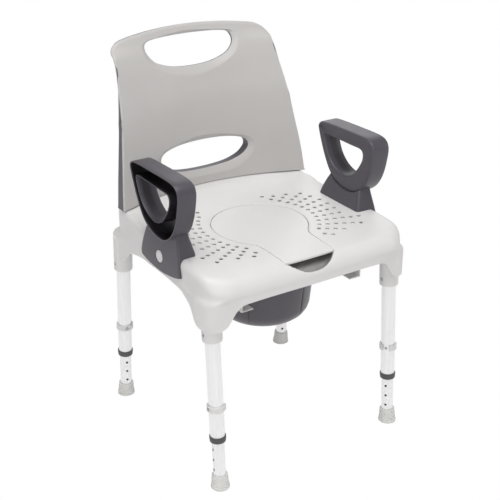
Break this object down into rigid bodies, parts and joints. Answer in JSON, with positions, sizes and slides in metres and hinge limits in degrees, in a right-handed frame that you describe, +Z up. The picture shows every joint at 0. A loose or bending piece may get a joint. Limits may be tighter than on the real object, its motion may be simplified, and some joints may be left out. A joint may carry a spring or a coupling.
{
  "type": "commode chair",
  "caption": "Height-adjustable commode chair with moulded seat, lift-off backrest and armrests, seat cover, and a bucket that slides in rails.",
  "frame": {"origin": "on the floor under the middle of the chair's overall box", "axes": "+X to the right of the person seated, +Y to the rear, +Z up"},
  "size_m": [0.538, 0.5544, 0.881],
  "materials": {
    "seat_plastic": "moulded, faint satin sheen",
    "back_plastic": "moulded, faint satin sheen",
    "back_rear_plastic": "moulded, satin",
    "arm_plastic": "moulded, fine grain",
    "cap_plastic": "plain cap",
    "leg_aluminium": "anodised satin tube",
    "collar_plastic": "moulded bush",
    "clip_plastic": "moulded ring",
    "steel": "zinc plated",
    "foot_rubber": "grey rubber",
    "bucket_plastic": "moulded, satin",
    "rail_plastic": "moulded"
  },
  "bodies": {
    "seat": {"seat_shell": "seat_plastic", "rail_left": "rail_plastic", "rail_right": "rail_plastic", "rail_screws": "steel", "socket_screws": "steel", "socket_nuts": "steel", "outer_tube_front_left": "leg_aluminium", "collar_front_left": "collar_plastic", "outer_tube_front_right": "leg_aluminium", "collar_front_right": "collar_plastic", "outer_tube_rear_left": "leg_aluminium", "collar_rear_left": "collar_plastic", "outer_tube_rear_right": "leg_aluminium", "collar_rear_right": "collar_plastic"},
    "backrest": {"backrest_front_shell": "back_plastic", "backrest_rear_shell": "back_rear_plastic", "backrest_screws": "steel"},
    "armrest_left": {"armrest_left": "arm_plastic", "armrest_cap_left": "cap_plastic"},
    "armrest_right": {"armrest_right": "arm_plastic", "armrest_cap_right": "cap_plastic"},
    "seat_cover": {"seat_cover": "seat_plastic"},
    "bucket": {"bucket": "bucket_plastic"},
    "leg_front_left": {"inner_tube_front_left": "leg_aluminium", "foot_front_left": "foot_rubber"},
    "clip_front_left": {"clip_ring_front_left": "clip_plastic", "clip_pin_front_left": "steel"},
    "leg_front_right": {"inner_tube_front_right": "leg_aluminium", "foot_front_right": "foot_rubber"},
    "clip_front_right": {"clip_ring_front_right": "clip_plastic", "clip_pin_front_right": "steel"},
    "leg_rear_left": {"inner_tube_rear_left": "leg_aluminium", "foot_rear_left": "foot_rubber"},
    "clip_rear_left": {"clip_ring_rear_left": "clip_plastic", "clip_pin_rear_left": "steel"},
    "leg_rear_right": {"inner_tube_rear_right": "leg_aluminium", "foot_rear_right": "foot_rubber"},
    "clip_rear_right": {"clip_ring_rear_right": "clip_plastic", "clip_pin_rear_right": "steel"}
  },
  "joints": [
    {"name": "backrest_lift", "type": "slide", "parent": "seat", "child": "backrest", "axis": [0, 0, 1], "range_m": [0, 0.12]},
    {"name": "armrest_left_lift", "type": "slide", "parent": "seat", "child": "armrest_left", "axis": [0, 0, 1], "range_m": [0, 0.1]},
    {"name": "armrest_right_lift", "type": "slide", "parent": "seat", "child": "armrest_right", "axis": [0, 0, 1], "range_m": [0, 0.1]},
    {"name": "seat_cover_lift", "type": "slide", "parent": "seat", "child": "seat_cover", "axis": [0, 0, 1], "range_m": [0, 0.1]},
    {"name": "bucket_pull", "type": "slide", "parent": "seat", "child": "bucket", "axis": [0, -1, 0], "range_m": [0, 0.3]},
    {"name": "leg_front_left_length", "type": "slide", "parent": "seat", "child": "leg_front_left", "axis": [0, -0.0659, -0.9978], "range_m": [-0.075, 0.075]},
    {"name": "leg_front_right_length", "type": "slide", "parent": "seat", "child": "leg_front_right", "axis": [0, -0.0659, -0.9978], "range_m": [-0.075, 0.075]},
    {"name": "leg_rear_left_length", "type": "slide", "parent": "seat", "child": "leg_rear_left", "axis": [0, 0.0659, -0.9978], "range_m": [-0.075, 0.075]},
    {"name": "leg_rear_right_length", "type": "slide", "parent": "seat", "child": "leg_rear_right", "axis": [0, 0.0659, -0.9978], "range_m": [-0.075, 0.075]},
    {"name": "clip_front_left_pull", "type": "slide", "parent": "seat", "child": "clip_front_left", "axis": [-1, 0, 0], "range_m": [0, 0.045], "deforming": ["clip_ring_front_left"]},
    {"name": "clip_front_right_pull", "type": "slide", "parent": "seat", "child": "clip_front_right", "axis": [0.8387, 0.5435, -0.0359], "range_m": [0, 0.045], "deforming": ["clip_ring_front_right"]},
    {"name": "clip_rear_left_pull", "type": "slide", "parent": "seat", "child": "clip_rear_left", "axis": [-0.2079, -0.976, -0.0644], "range_m": [0, 0.045], "deforming": ["clip_ring_rear_left"]},
    {"name": "clip_rear_right_pull", "type": "slide", "parent": "seat", "child": "clip_rear_right", "axis": [-0.4067, -0.9116, -0.0602], "range_m": [0, 0.045], "deforming": ["clip_ring_rear_right"]}
  ]
}
